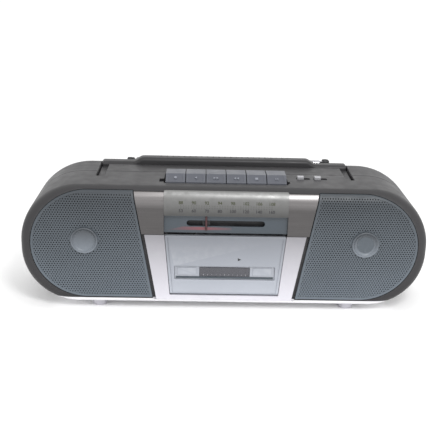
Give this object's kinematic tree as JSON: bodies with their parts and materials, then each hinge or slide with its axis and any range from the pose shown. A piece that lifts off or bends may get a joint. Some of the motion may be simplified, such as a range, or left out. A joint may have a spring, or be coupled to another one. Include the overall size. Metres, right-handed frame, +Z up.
{
  "type": "portable radio cassette recorder",
  "caption": "Long round-ended portable radio cassette recorder: two round speakers behind grilles, a centre deck with a drop-down door, piano keys, fold-back handle and telescopic aerial.",
  "frame": {"origin": "on the floor, under the middle of the object, at the bottom of its feet", "axes": "+X along the body to the right as seen from the front, the front faces -Y, +Z up"},
  "size_m": [0.42, 0.1282, 0.141],
  "materials": {
    "cabinet_paint": "satin graphite paint over moulded plastic",
    "base_silver": "silver paint",
    "grille_metal": "perforated sheet, satin blue-grey",
    "badge_chrome": "bright",
    "brushed_trim": "brushed, satin",
    "scale_print": "satin, with fine marks",
    "band_plastic": "smoky, smooth",
    "pointer_red": "satin",
    "door_plastic": "silver-blue paint",
    "lens": "smoky, clear",
    "black_plastic": "fine texture",
    "steel": "zinc-plated",
    "copper": "plain",
    "belt_rubber": "matte",
    "key_plastic": "satin bluish grey",
    "aerial_chrome": "bright",
    "knob_silver": "silver paint",
    "cone_paper": "pressed paper",
    "board": "green lacquer"
  },
  "bodies": {
    "cabinet": {"front_cabinet": "cabinet_paint", "rear_cabinet": "cabinet_paint", "base_tray": "base_silver", "left_grille": "grille_metal", "left_grille_badge": "badge_chrome", "right_grille": "grille_metal", "right_grille_badge": "badge_chrome", "upper_panel": "brushed_trim", "dial_scale": "scale_print", "tuning_band": "band_plastic", "cassette_surround": "base_silver", "deck_chassis": "steel", "drive_belt": "belt_rubber", "motor_plate": "steel", "motor": "steel", "key_axle": "steel", "left_handle_pin": "steel", "right_handle_pin": "steel", "volume_control": "steel", "tuning_capacitor": "knob_silver", "left_speaker_frame": "steel", "left_speaker_cone": "cone_paper", "right_speaker_frame": "steel", "right_speaker_cone": "cone_paper", "main_board": "board", "power_transformer": "copper", "mains_inlet": "black_plastic", "cabinet_screw_1": "steel", "cabinet_screw_2": "steel", "cabinet_screw_3": "steel", "cabinet_screw_4": "steel"},
    "door": {"cassette_door": "door_plastic", "door_insert": "base_silver", "door_lens": "lens", "cassette_holder": "black_plastic"},
    "pointer": {"dial_pointer": "pointer_red"},
    "supply_reel": {"supply_spindle": "black_plastic"},
    "takeup_reel": {"takeup_spindle": "black_plastic"},
    "flywheel": {"flywheel": "steel"},
    "motor_shaft": {"motor_pulley": "copper"},
    "head_slide": {"head_plate": "steel"},
    "roller": {"pinch_roller": "belt_rubber"},
    "handle": {"handle": "cabinet_paint"},
    "aerial_base": {"aerial_post": "black_plastic", "aerial_axle": "steel"},
    "aerial_mast": {"aerial_tube": "aerial_chrome"},
    "aerial_middle": {"aerial_middle": "aerial_chrome"},
    "aerial_end": {"aerial_tip": "black_plastic"},
    "volume": {"volume_wheel": "black_plastic"},
    "tuning": {"tuning_wheel": "black_plastic"},
    "function_slider": {"function_switch": "knob_silver"},
    "band_slider": {"band_switch": "knob_silver"},
    "battery_lid": {"battery_door": "cabinet_paint"},
    "key_record": {"key_record": "key_plastic"},
    "key_play": {"key_play": "key_plastic"},
    "key_rewind": {"key_rewind": "key_plastic"},
    "key_fast_forward": {"key_fast_forward": "key_plastic"},
    "key_stop_eject": {"key_stop_eject": "key_plastic"},
    "key_pause": {"key_pause": "key_plastic"}
  },
  "joints": [
    {"name": "door_hinge", "type": "hinge", "parent": "cabinet", "child": "door", "pos_m": [0, -0.059, 0.0229], "axis": [1, 0, 0], "range_deg": [0, 40]},
    {"name": "pointer_slide", "type": "slide", "parent": "cabinet", "child": "pointer", "axis": [1, 0, 0], "range_m": [-0.015, 0.055]},
    {"name": "supply_spin", "type": "hinge", "parent": "cabinet", "child": "supply_reel", "pos_m": [-0.02125, -0.045, 0.05045], "axis": [0, 1, 0], "continuous": true},
    {"name": "takeup_spin", "type": "hinge", "parent": "cabinet", "child": "takeup_reel", "pos_m": [0.02125, -0.045, 0.05045], "axis": [0, 1, 0], "continuous": true},
    {"name": "flywheel_spin", "type": "hinge", "parent": "cabinet", "child": "flywheel", "pos_m": [-0.035, -0.04, 0.0769], "axis": [0, 1, 0], "continuous": true},
    {"name": "motor_spin", "type": "hinge", "parent": "cabinet", "child": "motor_shaft", "pos_m": [0.038, -0.035, 0.0769], "axis": [0, 1, 0], "continuous": true},
    {"name": "head_slide_travel", "type": "slide", "parent": "cabinet", "child": "head_slide", "axis": [0, 0, -1], "range_m": [0, 0.004]},
    {"name": "roller_spin", "type": "hinge", "parent": "head_slide", "child": "roller", "pos_m": [-0.035, -0.05, 0.0877], "axis": [0, 1, 0], "continuous": true},
    {"name": "handle_fold", "type": "hinge", "parent": "cabinet", "child": "handle", "pos_m": [0, -0.009, 0.1235], "axis": [1, 0, 0], "range_deg": [0, 95]},
    {"name": "aerial_swivel", "type": "hinge", "parent": "cabinet", "child": "aerial_base", "pos_m": [0.115, 0.055, 0.132], "axis": [0, 0, 1], "range_deg": [-90, 0]},
    {"name": "aerial_tilt", "type": "hinge", "parent": "aerial_base", "child": "aerial_mast", "pos_m": [0.115, 0.055, 0.132], "axis": [0, 1, 0], "range_deg": [0, 90]},
    {"name": "aerial_middle_slide", "type": "slide", "parent": "aerial_mast", "child": "aerial_middle", "axis": [-1, 0, 0], "range_m": [0, 0.17]},
    {"name": "aerial_end_slide", "type": "slide", "parent": "aerial_middle", "child": "aerial_end", "axis": [-1, 0, 0], "range_m": [0, 0.17]},
    {"name": "volume_turn", "type": "hinge", "parent": "cabinet", "child": "volume", "pos_m": [-0.192, 0.019, 0.085], "axis": [0, 0, 1], "range_deg": [-40, 240]},
    {"name": "tuning_turn", "type": "hinge", "parent": "cabinet", "child": "tuning", "pos_m": [0.192, 0.019, 0.085], "axis": [0, 0, 1], "range_deg": [-57, 210]},
    {"name": "function_switch_slide", "type": "slide", "parent": "cabinet", "child": "function_slider", "axis": [1, 0, 0], "range_m": [0, 0.006]},
    {"name": "band_switch_slide", "type": "slide", "parent": "cabinet", "child": "band_slider", "axis": [1, 0, 0], "range_m": [0, 0.006]},
    {"name": "battery_door_hinge", "type": "hinge", "parent": "cabinet", "child": "battery_lid", "pos_m": [0, 0.062, 0.0158], "axis": [-1, 0, 0], "range_deg": [0, 90]},
    {"name": "key_record_press", "type": "hinge", "parent": "cabinet", "child": "key_record", "pos_m": [0, -0.009, 0.125], "axis": [1, 0, 0], "range_deg": [0, 9], "stiffness_Nm_per_rad": 0.15, "springref_deg": -2.86},
    {"name": "key_play_press", "type": "hinge", "parent": "cabinet", "child": "key_play", "pos_m": [0, -0.009, 0.125], "axis": [1, 0, 0], "range_deg": [0, 9], "stiffness_Nm_per_rad": 0.15, "springref_deg": -2.86},
    {"name": "key_rewind_press", "type": "hinge", "parent": "cabinet", "child": "key_rewind", "pos_m": [0, -0.009, 0.125], "axis": [1, 0, 0], "range_deg": [0, 9], "stiffness_Nm_per_rad": 0.15, "springref_deg": -2.86},
    {"name": "key_fast_forward_press", "type": "hinge", "parent": "cabinet", "child": "key_fast_forward", "pos_m": [0, -0.009, 0.125], "axis": [1, 0, 0], "range_deg": [0, 9], "stiffness_Nm_per_rad": 0.15, "springref_deg": -2.86},
    {"name": "key_stop_eject_press", "type": "hinge", "parent": "cabinet", "child": "key_stop_eject", "pos_m": [0, -0.009, 0.125], "axis": [1, 0, 0], "range_deg": [0, 9], "stiffness_Nm_per_rad": 0.15, "springref_deg": -2.86},
    {"name": "key_pause_press", "type": "hinge", "parent": "cabinet", "child": "key_pause", "pos_m": [0, -0.009, 0.125], "axis": [1, 0, 0], "range_deg": [0, 9], "stiffness_Nm_per_rad": 0.15, "springref_deg": -2.86}
  ],
  "couplings": [
    {"joint": "pointer_slide", "follows": "tuning_turn", "m_per_rad": 0.015},
    {"joint": "motor_spin", "follows": "flywheel_spin", "ratio": 5.75},
    {"joint": "takeup_spin", "follows": "flywheel_spin", "ratio": 0.08},
    {"joint": "key_play_press", "follows": "head_slide_travel", "rad_per_m": 39}
  ]
}
